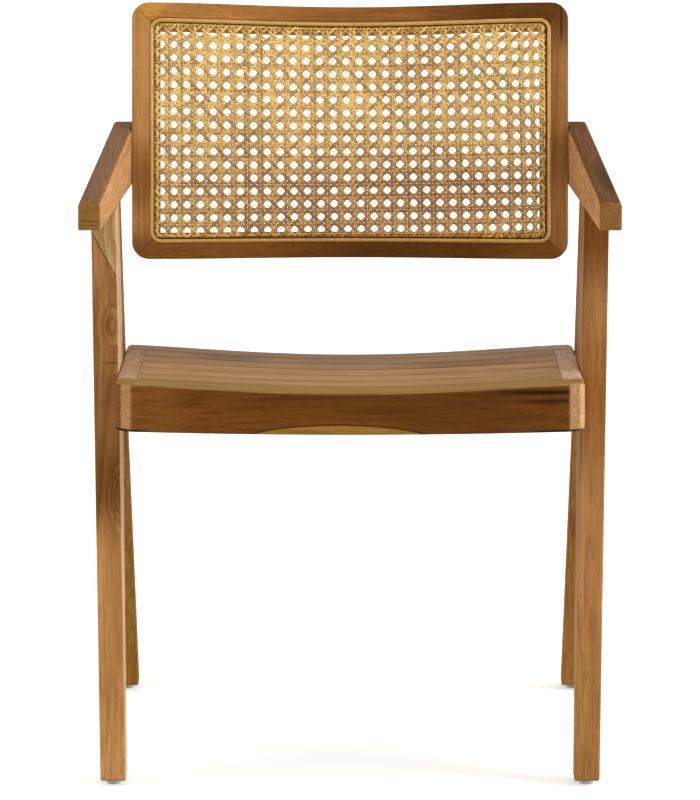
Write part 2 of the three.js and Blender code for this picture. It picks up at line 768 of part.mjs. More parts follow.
const caneGeometry = () => {
  const points = [];
  const faces = [];
  const add = (x, h, w) => points.push(panelPoint(x, h, w)) - 1;
  const half = openHalf + stileLedge / 2;
  const low = bottomRailWidth - bottomLedge / 2;
  const high = panelHeight - topRailWidth + topLedge / 2;
  const columnAt = (i) => mix(-half, half, i / caneColumns);
  const rowAt = (j) => mix(low, high, j / caneRows);
  const pitchX = (2 * half) / caneColumns;
  const pitchH = (high - low) / caneRows;
  const corner = (i, j) => [0, 1].map((k) => (i * (caneRows + 1) + j) * 2 + k);
  for (let i = 0; i <= caneColumns; i++) {
    for (let j = 0; j <= caneRows; j++) {
      add(columnAt(i), rowAt(j), caneFront);
      add(columnAt(i), rowAt(j), caneBack);
    }
  }
  const reach = caneHoleShare / 2 / Math.cos(Math.PI / caneHoleSides);
  for (let i = 0; i < caneColumns; i++) {
    for (let j = 0; j < caneRows; j++) {
      const x = columnAt(i + 0.5);
      const h = rowAt(j + 0.5);
      const rim = Array.from({ length: caneHoleSides }, (_, k) => {
        const angle = ((k + 0.5) / caneHoleSides) * 2 * Math.PI;
        const [px, ph] = [x + pitchX * reach * Math.cos(angle), h + pitchH * reach * Math.sin(angle)];
        return [add(px, ph, caneFront), add(px, ph, caneBack)];
      });
      const square = [corner(i + 1, j + 1), corner(i, j + 1), corner(i, j), corner(i + 1, j)];
      for (let q = 0; q < 4; q++) {
        const at = (n) => rim[(2 * q + n) % caneHoleSides];
        const here = square[q];
        const next = square[(q + 1) % 4];
        faces.push([here[0], at(1)[0], at(0)[0]], [here[1], at(0)[1], at(1)[1]]);
        faces.push([here[0], next[0], at(1)[0]], [here[1], at(1)[1], next[1]]);
        faces.push([next[0], at(2)[0], at(1)[0]], [next[1], at(1)[1], at(2)[1]]);
      }
      for (let k = 0; k < caneHoleSides; k++) {
        const a = rim[k];
        const b = rim[(k + 1) % caneHoleSides];
        faces.push([a[0], b[0], b[1]], [a[0], b[1], a[1]]);
      }
    }
  }
  // The border: each node on the net's edge, with the point of the fold that lies out from it.
  const outlines = [foldOuter, foldInner].map((inset) => ({
    half: halfArc - stileBand - inset,
    low: bottomBand + inset,
    high: panelHeight - topBand - inset,
    radius: grooveCornerRadius - inset,
  }));
  const border = [];
  const straight = (i, j, place) => border.push({ node: corner(i, j), fold: outlines.map(place) });
  const round = (i, j, signX, signH, start) => {
    for (let k = 0; k <= cornerSteps; k++) {
      const angle = start + (k / cornerSteps) * (Math.PI / 2);
      const place = ({ half: side, low: base, high: top, radius }) => [
        signX * (side - radius) + radius * Math.cos(angle),
        (signH > 0 ? top - radius : base + radius) + radius * Math.sin(angle),
      ];
      border.push({ node: corner(i, j), fold: outlines.map(place) });
    }
  };
  round(caneColumns, 0, 1, -1, -Math.PI / 2);
  for (let j = 1; j < caneRows; j++) straight(caneColumns, j, (o) => [o.half, rowAt(j)]);
  round(caneColumns, caneRows, 1, 1, 0);
  for (let i = caneColumns - 1; i > 0; i--) straight(i, caneRows, (o) => [columnAt(i), o.high]);
  round(0, caneRows, -1, 1, Math.PI / 2);
  for (let j = caneRows - 1; j > 0; j--) straight(0, j, (o) => [-o.half, rowAt(j)]);
  round(0, 0, -1, -1, Math.PI);
  for (let i = 1; i < caneColumns; i++) straight(i, 0, (o) => [columnAt(i), o.low]);
  const strips = border.map(({ node, fold: [out, inn] }) => [
    node[0],
    add(...out, caneFront),
    add(...out, foldEnd),
    add(...inn, foldEnd),
    add(...inn, caneBack),
    node[1],
  ]);
  strips.forEach((strip, i) => {
    const next = strips[(i + 1) % strips.length];
    for (let k = 0; k + 1 < strip.length; k++) {
      const quad = [[strip[k], strip[k + 1], next[k + 1]], [strip[k], next[k + 1], next[k]]];
      for (const face of quad) if (new Set(face).size === 3) faces.push(face);
    }
  });
  return shellFrom(points, faces);
};

// Dowels of the back frame
const dowelLayer = (panelThickness + grooveDepth) / 2;
const mitreDowels = () => {
  const reach = mitreDowelLength / 2 / Math.SQRT2;
  const corners = [
    ["left_lower", -1, 0],
    ["right_lower", 1, 0],
    ["left_upper", -1, 1],
    ["right_upper", 1, 1],
  ];
  return corners.map(([place, signX, high]) => {
    const x = (inset) => signX * (halfArc - inset);
    const h = (inset) => (high ? panelHeight - inset : inset);
    const from = panelPoint(x(mitreDowelInset - reach), h(mitreDowelInset + reach), dowelLayer);
    const to = panelPoint(x(mitreDowelInset + reach), h(mitreDowelInset - reach), dowelLayer);
    return dowel(`${place}_mitre_dowel`, from, to, mitreDowelDiameter);
  });
};

const backDowels = (side) =>
  backDowelHeightShares.map((share, i) => {
    const z = mix(armRearUnderside, armRearUnderside + armRearHeight, share);
    const h = (z - panelBottom) / Math.cos(panelTilt);
    const middle = panelPoint(halfArc, h, dowelLayer);
    const from = new THREE.Vector3(middle.x - dowelLength / 2, middle.y, z);
    const to = new THREE.Vector3(middle.x + dowelLength / 2, middle.y, z);
    return dowel(`${side}_back_dowel_${i + 1}`, from, to);
  });

// Glide: a turned disc with a pin up into the foot
const glideProfile = () => {
  const radius = glideDiameter / 2;
  const pin = glidePinDiameter / 2;
  const round = Array.from({ length: cornerSteps + 1 }, (_, i) => {
    const angle = (i / cornerSteps) * (Math.PI / 2) - Math.PI / 2;
    const middle = radius - glideEdgeRadius;
    return [middle + glideEdgeRadius * Math.cos(angle), glideEdgeRadius + glideEdgeRadius * Math.sin(angle)];
  });
  const top = glideHeight - seam;
  return [[0, 0], ...round, [radius, top], [pin, top], [pin, top + glidePinLength], [0, top + glidePinLength]];
};
const glideGeometry = () => {
  const points = glideProfile().map(([x, y]) => new THREE.Vector2(x, y));
  return new THREE.LatheGeometry(points, discSides).rotateX(Math.PI / 2);
};
const pinHole = (y) => {
  const radius = glidePinDiameter / 2 + pegClearance;
  const depth = glidePinLength + pegClearance;
  const hole = new THREE.CylinderGeometry(radius, radius, depth + overrun, discSides).rotateX(Math.PI / 2);
  const x = footHalfWidth - legThickness / 2;
  return solid(hole.translate(x, y, glideHeight + (depth - overrun) / 2));
};

// Assembly
const chair = new THREE.Group();
chair.position.y = -footSpan / 2;

const addSide = (side, sign) => {
  const group = new THREE.Group();
  group.scale.x = sign;
  const joints = legJointDowels(side);
  const arms = armDowels(side);
  const rails = railDowels(side);
  const backs = backDowels(side);
  const corners = cornerDowels(side);
  const frontFoot = footDepth / 2;
  const rearFoot = footSpan - footDepth / 2;
  const frontLeg = drilled(frontLegSolid(), [...joints, ...arms, ...rails.front]).subtract(pinHole(frontFoot));
  const rearLeg = drilled(rearLegSolid(), [...joints, ...arms, ...rails.rear]).subtract(pinHole(rearFoot));
  group.add(named(`${side}_front_leg`, geometryOf(frontLeg), legTeak));
  group.add(named(`${side}_rear_leg`, geometryOf(rearLeg), legTeak));
  group.add(named(`${side}_armrest`, geometryOf(drilled(armSolid(), [...arms, ...backs])), armTeak));
  const sideRail = drilled(sideRailSolid(), [...rails.front, ...rails.rear, ...corners]);
  group.add(named(`${side}_seat_side_rail`, geometryOf(sideRail), seatTeak));
  const stile = solid(stileGeometry()).subtract(grooveCutter);
  group.add(named(`back_${side}_stile`, geometryOf(drilled(stile, [...backs, ...mitreDowels()])), frameTeak));
  const dowels = [...joints, ...arms, ...rails.front, ...rails.rear, ...backs, ...corners];
  for (const { peg } of dowels) group.add(peg);
  for (const [end, y] of [["front", frontFoot], ["rear", rearFoot]]) {
    const glide = named(`${side}_${end}_glide`, glideGeometry(), glideNylon);
    glide.position.set(footHalfWidth - legThickness / 2, y, 0);
    group.add(glide);
  }
  chair.add(group);
};

const addSeat = () => {
  const corners = cornerDowels("right");
  const seat = new THREE.Group();
  seat.add(named("seat_front_rail", geometryOf(drilledBothSides(frontRailSolid(), corners)), apronTeak));
  for (let i = 0; i < slatCount; i++) {
    seat.add(named(`seat_slat_${i + 1}`, geometryOf(slatSolid(i)), seatTeak));
  }
  seat.add(named("seat_rear_rail", geometryOf(drilledBothSides(rearRailSolid(), corners)), seatTeak));
  chair.add(seat);
};

const addBack = () => {
  const pegs = mitreDowels();
  const panel = new THREE.Group();
  const top = drilled(solid(topRailGeometry()).subtract(grooveCutter), pegs);
  const bottom = drilled(solid(bottomRailGeometry()).subtract(grooveCutter), pegs);
  panel.add(named("back_top_rail", geometryOf(top), frameTeak));
  panel.add(named("back_bottom_rail", geometryOf(bottom), frameTeak));
  panel.add(named("cane_panel", caneGeometry(), caneFinish));
  panel.add(named("cane_spline", grooveRing(splineSection(), railSteps, 1), caneFinish));
  for (const { peg } of pegs) panel.add(peg);
  chair.add(panel);
};

addSide("right", 1);
addSide("left", -1);
addSeat();
addBack();

export default chair;
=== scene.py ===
"""Looks for the cane-back teak armchair: finishes on the CAD pieces, woven cane, light, floor and camera.

The frame is in metres, +Z up, and the chair faces -Y. Lengths are in metres unless a comment says otherwise.
"""

import math

import bpy
import numpy as np
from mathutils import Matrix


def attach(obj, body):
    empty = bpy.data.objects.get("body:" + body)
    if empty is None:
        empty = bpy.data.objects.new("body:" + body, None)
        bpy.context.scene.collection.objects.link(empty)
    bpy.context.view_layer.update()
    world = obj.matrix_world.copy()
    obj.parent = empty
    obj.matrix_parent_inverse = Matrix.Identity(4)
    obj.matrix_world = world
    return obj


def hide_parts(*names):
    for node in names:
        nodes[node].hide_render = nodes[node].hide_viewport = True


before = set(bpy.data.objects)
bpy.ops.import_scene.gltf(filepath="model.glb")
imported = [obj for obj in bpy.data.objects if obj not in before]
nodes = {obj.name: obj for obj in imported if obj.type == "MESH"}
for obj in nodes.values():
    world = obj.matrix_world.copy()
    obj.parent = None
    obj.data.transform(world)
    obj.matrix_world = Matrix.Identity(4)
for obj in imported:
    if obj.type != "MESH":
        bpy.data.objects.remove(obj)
bpy.context.view_layer.update()

# Sizes of the chair, as the CAD part has them; a setback runs back from the front edge of the front feet
foot_span = 0.516
chair_front = -foot_span / 2
seat_setback = 0.0155
seat_front = chair_front + seat_setback
seat_height = 0.456
seat_tilt = math.radians(4.15)
seat_half = 0.2565
seat_dish = 0.0096
dish_fullness = 0.6
boards_start = 0.0543
board_pitch = 0.06134
arm_length = 0.484
arm_front_top = 0.6615
arm_rear_top = 0.681
leg_inner_half = 0.2505
lean_out = 0.0134
lean_height = 0.6

# Run and rise of the legs' middle lines, seen from the side: the rear legs lean forwards as they rise
front_leg_run = 0.22
front_leg_rise = 0.614
rear_leg_run = -0.15
rear_leg_rise = 0.61

# The back panel, along its own curved and tilted face
panel_setback = 0.412
panel_front = chair_front + panel_setback
panel_bottom = 0.5296
panel_height = 0.2984
panel_half_width = 0.2534
panel_tilt = math.radians(9.5)
panel_radius = 1.335
stile_band = 0.020
top_band = 0.0175
bottom_band = 0.0179
groove_width = 0.007
groove_corner = 0.014
stile_ledge = 0.005
ledge_depth = 0.0065
top_rail_dip = 0.005
bottom_rail_arch = 0.002

# Worked out from these: half the panel as an angle and as an arc, and the axis that its face curves round
edge_angle = math.asin(panel_half_width / panel_radius)
half_arc = panel_radius * edge_angle
open_half = half_arc - stile_band - groove_width - stile_ledge
edge_reach = panel_radius * math.cos(edge_angle)
tilt_back = math.sin(panel_tilt)
tilt_up = math.cos(panel_tilt)
panel_axis = (0, panel_front - edge_reach * tilt_up, panel_bottom + edge_reach * tilt_back)

# The weave
pitch = 0.0154
hole_columns = 30
hole_rows = 16
lowest_hole = 0.0336
pair_width = 0.0031
diagonal_width = 0.0034
pair_offset = 0.0019
strand_crown = 0.0004
weave_depth = 0.0012
pair_lift = 0.0004
diagonal_lift = 0.0006
edge_shade = 0.7
steps_per_pitch = 6
weave_seed = 7
section_points = 5
fold_clearance = 0.0003
fold_depth = 0.0045
no_length = 1e-9

# How the weave has slipped on its frame: to the right and turned a little, and crowded at its edges
weave_half = 0.233
weave_middle = 0.1494
weave_shift = 0.0039
weave_turn = 0.012
weave_stretch = 0.0027
weave_skew = 0.0013
left_squeeze = 0.0029
right_squeeze = 0.0065
low_squeeze = 0.0009
top_squeeze = 0.002
squeeze_reach = 0.022

# The reed in the groove
reed_inset = 0.0002
reed_width = 0.0052
reed_shift = 0.0005
reed_crown = 0.0024
reed_proud = 0.0006
reed_shade = 0.5
reed_depth = 0.006
reed_crown_points = 9

# Sizes of grain in teak and fibres in cane, each a length along the piece and a width across it
streak_size = (0.12, 0.0026)
cloud_size = (0.35, 0.028)
pore_size = (0.012, 0.0008)
ring_field_size = (0.75, 0.075)
strand_fibre_size = (0.014, 0.0004)
reed_fibre_size = (0.04, 0.0005)

# Growth rings: their count, the streaks' pull on them, and where in a ring the dark starts and is full
ring_count = 9.0
ring_feather = 0.4
ring_dark_start = 0.1
ring_dark_full = 0.9

# Other sizes on the surfaces
eased_edge = 0.0015
fleck_size = 0.012
scuff_size = 0.002
speckle_size = 0.0022

# The bump's depth and strength on teak and on cane, and its filter's width in pixels
streak_depth = 0.0004
streak_relief = 0.12
fibre_depth = 0.0002
fibre_relief = 0.15
bump_filter = 0.1

# Dry oil mirrors far less than a varnish: the shader's level of reflection, where 0.5 is the usual one
teak_reflection = 0.04

# How noises turn into shares or roughness: the range that each comes from and the range that it goes to
cloud_range = (0.35, 0.68, 0.0, 0.7)
streak_range = (0.42, 0.7, 0.0, 0.7)
pore_range = (0.55, 0.7, 0.0, 0.6)
satin_range = (0.3, 0.7, 0.45, 0.58)
scuffed_range = (0.3, 0.7, 0.4, 0.6)
brown_range = (0.75, 1.5, 0.0, 1.0)
shade_weight = 0.35
speckle_weight = 0.8

# Where the boards' grain starts in the noise, and how far it is from board to board
first_board_seed = 12.8
board_seed_step = 0.83

# Tones on the pieces: where they start at an edge and how far they fade in
mark_fade = 0.001
face_fade = 0.0005
arm_edge = 0.004
arm_top_fade = 0.003
arm_end_fade = 0.002
joint_strip = 0.007
joint_fade = 0.005
seat_top_start = 0.0022
seat_top_full = 0.0008

# A radius that runs right through the chair, where only the other radii bound a spot
through = 9.0

# Light levels, where 1 shows a colour as it is written, and the distances over which the floor's glow grows
room_light = 0.52
near_glow = 0.4
far_glow = 0.75
glow_start = 0.5
glow_end = 4.0
floor_reach = 60.0

# Soft boxes of one width, turned to the chair's middle: each has a name, a place and a light level
soft_box_width = 2.0
chair_middle = (0, 0, 0.5)
soft_boxes = (
    ("right_box", (3.2, -0.7, 1.3), 0.95),
    ("left_box", (-3.2, -0.7, 1.3), 0.5),
    ("front_box", (0.4, -4.0, 1.6), 0.23),
    ("top_box", (0.3, 0.2, 3.2), 0.38),
)

# The camera, fitted to the photograph: its distance is from the front feet, and its sensor is in millimetres
camera_distance = 7.6013
camera_height = 1.8717
camera_pitch = math.radians(10.663)
lens_pixels = 6988
picture_height_pixels = 800
sensor_width = 36.0


def linear(code):
    """A linear colour from an sRGB hex code."""
    parts = [int(code[i : i + 2], 16) / 255 for i in (1, 3, 5)]
    return (*[c / 12.92 if c <= 0.04045 else ((c + 0.055) / 1.055) ** 2.4 for c in parts], 1.0)


# The values in calls of add: a noise has its place, scale, detail and roughness, a map range its value and
# two ranges, a mix its share and two colours, and a bump its strength, depth, filter, height and normal


def add(tree, kind, *values, out=None, **settings):
    """Adds a shader node, links or sets its inputs in order, and returns its first or its named output."""
    node = tree.nodes.new("ShaderNode" + kind)
    for name, value in settings.items():
        setattr(node, name, value)
    sockets = [socket for socket in node.inputs if socket.enabled]
    for socket, value in zip(sockets, values):
        if isinstance(value, bpy.types.NodeSocket):
            tree.links.new(value, socket)
        else:
            socket.default_value = value
    shown = [socket for socket in node.outputs if socket.enabled]
    return node.outputs[out] if out else shown[0]


def new_material(name):
    """An empty node material, with its tree and its shader."""
    material = bpy.data.materials.new(name)
    material.use_nodes = True
    tree = material.node_tree
    return material, tree, tree.nodes["Principled BSDF"]


# Where a mark lies on a piece: each of these is, or gives, a function that returns a share from 0 to 1


def spot(centre, radii, edge):
    """Inside an ellipsoid, fading out over the outer part that edge gives."""

    def share(tree, place):
        away = add(tree, "VectorMath", place, centre, operation="SUBTRACT")
        scaled = add(tree, "VectorMath", away, radii, operation="DIVIDE")
        distance = add(tree, "VectorMath", scaled, out="Value", operation="LENGTH")
        return add(tree, "MapRange", distance, 1 - edge, 1.0, 1.0, 0.0, interpolation_type="SMOOTHSTEP")

    return share


def beyond(point, direction, edge):
    """Past a plane through a point, rising over the distance edge along the direction."""
    start = float(np.dot(point, direction))

    def share(tree, place):
        reach = add(tree, "VectorMath", place, direction, out="Value", operation="DOT_PRODUCT")
        return add(tree, "MapRange", reach, start, start + edge, 0.0, 1.0, interpolation_type="SMOOTHSTEP")

    return share


def near_face(tree, place):
    """On the back panel's face, ledge and groove: less than the radius and a depth from the panel's axis."""
    away = add(tree, "VectorMath", place, panel_axis, operation="SUBTRACT")
    across = add(tree, "VectorMath", away, (0, tilt_back, tilt_up), operation="CROSS_PRODUCT")
    distance = add(tree, "VectorMath", across, out="Value", operation="LENGTH")
    deepest = panel_radius + ledge_depth
    return add(tree, "MapRange", distance, deepest, deepest + face_fade, 1.0, 0.0)


def both(first, second):
    """Where two marks' places overlap."""

    def share(tree, place):
        return add(tree, "Math", first(tree, place), second(tree, place), operation="MULTIPLY")

    return share


def on_seat_top(tree, place):
    """At the seat's dished and tilted top.

    There z + y tan(tilt) + dish ((1 + cos(pi x / half)) / 2)^fullness comes to one value all over.
    """
    x = add(tree, "SeparateXYZ", place, out="X")
    y = add(tree, "SeparateXYZ", place, out="Y")
    z = add(tree, "SeparateXYZ", place, out="Z")
    angle = add(tree, "Math", x, math.pi / seat_half, operation="MULTIPLY")
    dip = add(tree, "Math", angle, operation="COSINE")
    dip = add(tree, "Math", dip, 0.5, 0.5, operation="MULTIPLY_ADD")
    dip = add(tree, "Math", dip, dish_fullness, operation="POWER")
    height = add(tree, "Math", y, math.tan(seat_tilt), z, operation="MULTIPLY_ADD")
    height = add(tree, "Math", dip, seat_dish, height, operation="MULTIPLY_ADD")
    top = seat_height + seat_front * math.tan(seat_tilt)
    ends = (top - seat_top_start, top - seat_top_full)
    return add(tree, "MapRange", height, *ends, 0.0, 1.0, interpolation_type="SMOOTHSTEP")


def marked(tree, place, colour, marks, blend="MIX"):
    """A colour with marks over it: each is a colour, its strength and where it lies."""
    for mark, strength, where in marks:
        share = add(tree, "Math", where(tree, place), strength, operation="MULTIPLY")
        colour = add(tree, "Mix", share, colour, linear(mark), data_type="RGBA", blend_type=blend)
    return colour


def grain(tree, place, size, detail, roughness=0.5):
    """Noise drawn out along X: its patches are about size[0] long and size[1] wide."""
    length, width = size
    scaled = add(tree, "VectorMath", place, (1 / length, 1 / width, 1 / width), operation="MULTIPLY")
    return add(tree, "TexNoise", scaled, 1.0, detail, roughness)


def ring_figure(tree, place, turned, streaks, knots):
    """Growth rings: the level lines of a slow field, feathered by the streaks and bent round the knots.

    Each ring darkens slowly and ends sharply, as late wood does.
    """
    field = grain(tree, turned, ring_field_size, 1.0)
    phase = add(tree, "Math", field, ring_count, operation="MULTIPLY")
    phase = add(tree, "Math", streaks, ring_feather, phase, operation="MULTIPLY_ADD")
    for rings, where in knots:
        phase = add(tree, "Math", where(tree, place), rings, phase, operation="MULTIPLY_ADD")
    phase = add(tree, "Math", phase, operation="FRACT")
    darkening = (ring_dark_start, ring_dark_full, 0.0, 1.0)
    rise = add(tree, "MapRange", phase, *darkening, interpolation_type="SMOOTHSTEP")
    fall = add(tree, "MapRange", phase, ring_dark_full, 1.0, 1.0, 0.0, interpolation_type="SMOOTHSTEP")
    return add(tree, "Math", rise, fall, operation="MULTIPLY")


def teak(name, light, dark, turn, seed, figure=0.35, marks=(), knots=()):
    """Oiled teak, planed and sanded: satin, with growth rings, soft streaks and short open pores.

    The turn brings the grain onto X. A knot is a number of rings and where they lie.
    """
    material, tree, shader = new_material(name)
    place = add(tree, "TexCoord", out="Object")
    turned = add(tree, "Mapping", place, (seed, seed, 0), turn)
    streaks = grain(tree, turned, streak_size, 4.0, 0.6)
    clouds = grain(tree, turned, cloud_size, 3.0)
    pores = grain(tree, turned, pore_size, 1.0)
    rings = ring_figure(tree, place, turned, streaks, knots)

    share = add(tree, "MapRange", clouds, *cloud_range, interpolation_type="SMOOTHSTEP")
    colour = add(tree, "Mix", share, linear(light), linear(dark), data_type="RGBA")
    colour = marked(tree, place, colour, marks)
    late_wood = add(tree, "Mix", 1.0, colour, linear("#c4b5a2"), data_type="RGBA", blend_type="MULTIPLY")
    share = add(tree, "Math", rings, figure, operation="MULTIPLY")
    colour = add(tree, "Mix", share, colour, late_wood, data_type="RGBA")
    for noise, levels in ((streaks, streak_range), (pores, pore_range)):
        share = add(tree, "MapRange", noise, *levels, interpolation_type="SMOOTHSTEP")
        colour = add(tree, "Mix", share, colour, late_wood, data_type="RGBA")
    tree.links.new(colour, shader.inputs["Base Color"])

    rough = add(tree, "MapRange", streaks, *satin_range, interpolation_type="SMOOTHSTEP")
    tree.links.new(rough, shader.inputs["Roughness"])
    shader.inputs["Specular IOR Level"].default_value = teak_reflection
    eased = add(tree, "Bevel", eased_edge, samples=6)
    bump = add(tree, "Bump", streak_relief, streak_depth, bump_filter, streaks, eased)
    tree.links.new(bump, shader.inputs["Normal"])
    return material


def nylon():
    """Moulded nylon of the glides: grey and dull, with fine scuffs from the floor."""
    material, tree, shader = new_material("grey_nylon")
    place = add(tree, "TexCoord", out="Object")
    scuffs = add(tree, "TexNoise", place, 1 / scuff_size, 3.0, 0.6)
    colour = add(tree, "Mix", scuffs, linear("#bcbab4"), linear("#a9a69f"), data_type="RGBA")
    tree.links.new(colour, shader.inputs["Base Color"])
    rough = add(tree, "MapRange", scuffs, *scuffed_range)
    tree.links.new(rough, shader.inputs["Roughness"])
    return material


def beech():
    """Turned beech of the hidden dowels: pale, even and dull."""
    material, tree, shader = new_material("beech_dowel")
    place = add(tree, "TexCoord", out="Object")
    flecks = add(tree, "TexNoise", place, 1 / fleck_size, 2.0, 0.5)
    colour = add(tree, "Mix", flecks, linear("#cfb084"), linear("#bd9a6a"), data_type="RGBA")
    tree.links.new(colour, shader.inputs["Base Color"])
    shader.inputs["Roughness"].default_value = 0.7
    return material


def cane_skin(name, light, dark, fibre_size, marks=()):
    """Split rattan skin: golden and fairly glossy, with fine fibres along it, speckles, and darker areas
    from its marks, which are painted shade on the woven strands.

    It reads the UV map along, in metres, and the attribute shade, which darkens single strands at random and
    their edges as painted shade.
    """
    material, tree, shader = new_material(name)
    place = add(tree, "TexCoord", out="Object")
    along = add(tree, "UVMap", uv_map="along")
    shade = add(tree, "Attribute", out="Fac", attribute_name="shade")
    length, width = fibre_size
    fibre_place = add(tree, "VectorMath", along, (1 / length, 1 / width, 1), operation="MULTIPLY")
    fibres = add(tree, "TexNoise", fibre_place, 1.0, 3.0, 0.6)
    speckle = add(tree, "TexNoise", place, 1 / speckle_size, 2.0, 0.6)
    share = add(tree, "Math", shade, shade_weight, fibres, operation="MULTIPLY_ADD")
    share = add(tree, "Math", speckle, speckle_weight, share, operation="MULTIPLY_ADD")
    share = add(tree, "MapRange", share, *brown_range, interpolation_type="SMOOTHSTEP")
    colour = add(tree, "Mix", share, linear(light), linear(dark), data_type="RGBA")
    colour = marked(tree, place, colour, marks, "MULTIPLY")
    tree.links.new(colour, shader.inputs["Base Color"])
    shader.inputs["Roughness"].default_value = 0.35
    bump = add(tree, "Bump", fibre_relief, fibre_depth, bump_filter, fibres)
    tree.links.new(bump, shader.inputs["Normal"])
    return material


def split_cane():
    """The skin of the woven strands: painted shade browns it along the bottom, and a patch near the top is
    browner.
    """
    marks = (
        # painted shade: the lower part of the cane, bending back from the light, darkened
        ("#c89c48", 0.4, spot((0.0, 0.16, 0.59), (0.32, through, 0.09), 0.8)),
        ("#c89c48", 0.4, spot((0.12, 0.16, 0.61), (0.16, through, 0.06), 0.8)),
        ("#dcb478", 0.4, spot((0.06, 0.18, 0.75), (0.07, through, 0.06), 0.8)),
    )
    return cane_skin("split_cane", "#f3c768", "#855812", strand_fibre_size, marks)


def on_panel(x, h, w):
    """Points of the curved, tilted panel: x along its curve, h up it, w back from its face.

    The reach is (R + w) cos(x / R) - R cos(edge). The rails' dip and arch bend the height h, and the tilt
    turns the two.
    """
    fade = np.clip(1 - (x / open_half) ** 2, 0, None) ** 2
    share = h / panel_height
    height = h - top_rail_dip * fade * share + bottom_rail_arch * fade * (1 - share)
    angle = x / panel_radius
    reach = (panel_radius + w) * np.cos(angle) - edge_reach
    y = panel_front + reach * tilt_up + height * tilt_back
    z = panel_bottom + height * tilt_up - reach * tilt_back
    return np.stack([(panel_radius + w) * np.sin(angle), y, z], -1)


def groove_box(inset):
    """Half width, lower and upper edge and corner radius of the groove's line, in from its outer wall."""
    half = half_arc - stile_band - inset
    return half, bottom_band + inset, panel_height - top_band - inset, groove_corner - inset


def past_wall(x, h):
    """How far panel points lie past the groove's rounded inner wall, with the unit vector back to it."""
    half, low, high, radius = groove_box(groove_width)
    middle = (low + high) / 2
    past_x = np.abs(x) - (half - radius)
    past_h = np.abs(h - middle) - ((high - low) / 2 - radius)
    corner_x = np.clip(past_x, 0, None)
    corner_h = np.clip(past_h, 0, None)
    length = np.hypot(corner_x, corner_h)
    distance = length + np.minimum(np.maximum(past_x, past_h), 0) - radius
    unit = np.maximum(length, no_length)
    return distance, -np.sign(x) * corner_x / unit, -np.sign(h - middle) * corner_h / unit


def folded(x, h, w):
    """Bends what lies past the groove's inner wall into the groove: back onto the wall, and sunk as much."""
    distance, back_x, back_h = past_wall(x, h)
    past = np.clip(distance - fold_clearance, 0, None)
    return x + back_x * past, h + back_h * past, w + past


def slack(x, h):
    """Where a point of an even weave comes to lie: shifted, turned, and bent by second powers of x and h.

    Each edge adds a shift inwards that dies off as exp(-(distance / reach)^2).
    """

    def crowding(distance, squeeze):
        return squeeze * np.exp(-((np.clip(distance, 0, None) / squeeze_reach) ** 2))

    across = x / weave_half
    down = (weave_middle - h) / weave_half
    twist = 2 * weave_skew * across * down
    moved = weave_shift + weave_turn * weave_half * down - weave_stretch * across**2 + twist
    raised = weave_turn / 2 * x + weave_skew * across**2 + twist
    inward = crowding(weave_half + x, left_squeeze) - crowding(weave_half - x, right_squeeze)
    upward = crowding(h - bottom_band, low_squeeze) - crowding(panel_height - top_band - h, top_squeeze)
    return x + moved + inward, h + raised + upward


def mesh_piece(name, points, faces, shade, along, material):
    """A smooth piece with a shade for each point, and a UV map named along."""
    mesh = bpy.data.meshes.new(name)
    mesh.from_pydata(points.tolist(), [], faces)
    mesh.polygons.foreach_set("use_smooth", np.ones(len(faces), bool))
    attribute = mesh.attributes.new("shade", "FLOAT", "POINT")
    attribute.data.foreach_set("value", shade.astype(np.float32))
    corners = np.empty(len(mesh.loops), int)
    mesh.loops.foreach_get("vertex_index", corners)
    layer = mesh.uv_layers.new(name="along")
    layer.data.foreach_set("uv", along[corners].astype(np.float32).ravel())
    piece = bpy.data.objects.new(name, mesh)
    bpy.context.scene.collection.objects.link(piece)
    mesh.materials.append(material)
    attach(piece, "root")
    return piece


def tube_faces(steps, ring, base=0, closed=False):
    """Quads between rings of points, capped at both ends unless the run closes on itself."""
    here = np.arange(steps if closed else steps - 1)[:, None] * ring
    after = (here + ring) % (steps * ring)
    side = np.arange(ring)[None, :]
    turn = (side + 1) % ring
    quads = np.stack([here + side, here + turn, after + turn, after + side], -1).reshape(-1, 4) + base
    if closed:
        return quads.tolist()
    last = base + (steps - 1) * ring
    first_cap = list(range(base + ring - 1, base - 1, -1))
    last_cap = list(range(last, last + ring))
    return [*quads.tolist(), first_cap, last_cap]


def strand_section(width):
    """Across a split strand, crowned and flat behind: side shifts cos(a) width / 2, depths -sin(a) crown."""
    angles = np.linspace(0, math.pi, section_points)
    return np.stack([np.cos(angles) * width / 2, -np.sin(angles) * strand_crown], -1)


